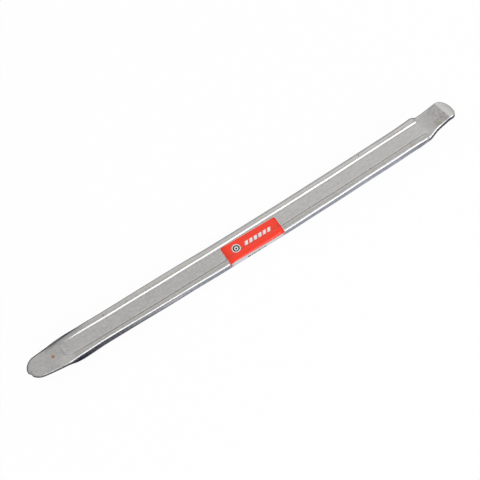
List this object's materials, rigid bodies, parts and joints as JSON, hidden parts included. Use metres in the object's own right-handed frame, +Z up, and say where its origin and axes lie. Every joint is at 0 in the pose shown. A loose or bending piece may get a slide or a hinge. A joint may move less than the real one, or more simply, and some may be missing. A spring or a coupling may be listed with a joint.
{
  "type": "tyre lever",
  "caption": "Bowed forged steel tyre lever of I-section with a flat spoon at one end, a raised spoon at the other and a plain label wrapped on its middle.",
  "frame": {"origin": "centre of the bounding box in X and Y, at the lowest face, which is the label where it crosses the underside of the rim", "axes": "+X along the lever towards the raised spoon, +Z up out of the hollow side of the bow, which is the face with the working surfaces, +Y across to the edge that the label leaves bare"},
  "size_m": [0.4, 0.0248, 0.0208],
  "materials": {
    "plated_steel": "satin zinc plate over a forged surface, a few rust freckles",
    "label_film": "printed self-adhesive film, red with a white panel on the side, semi-gloss"
  },
  "bodies": {
    "root": {"forged_lever": "plated_steel", "wrap_label": "label_film"}
  },
  "joints": []
}
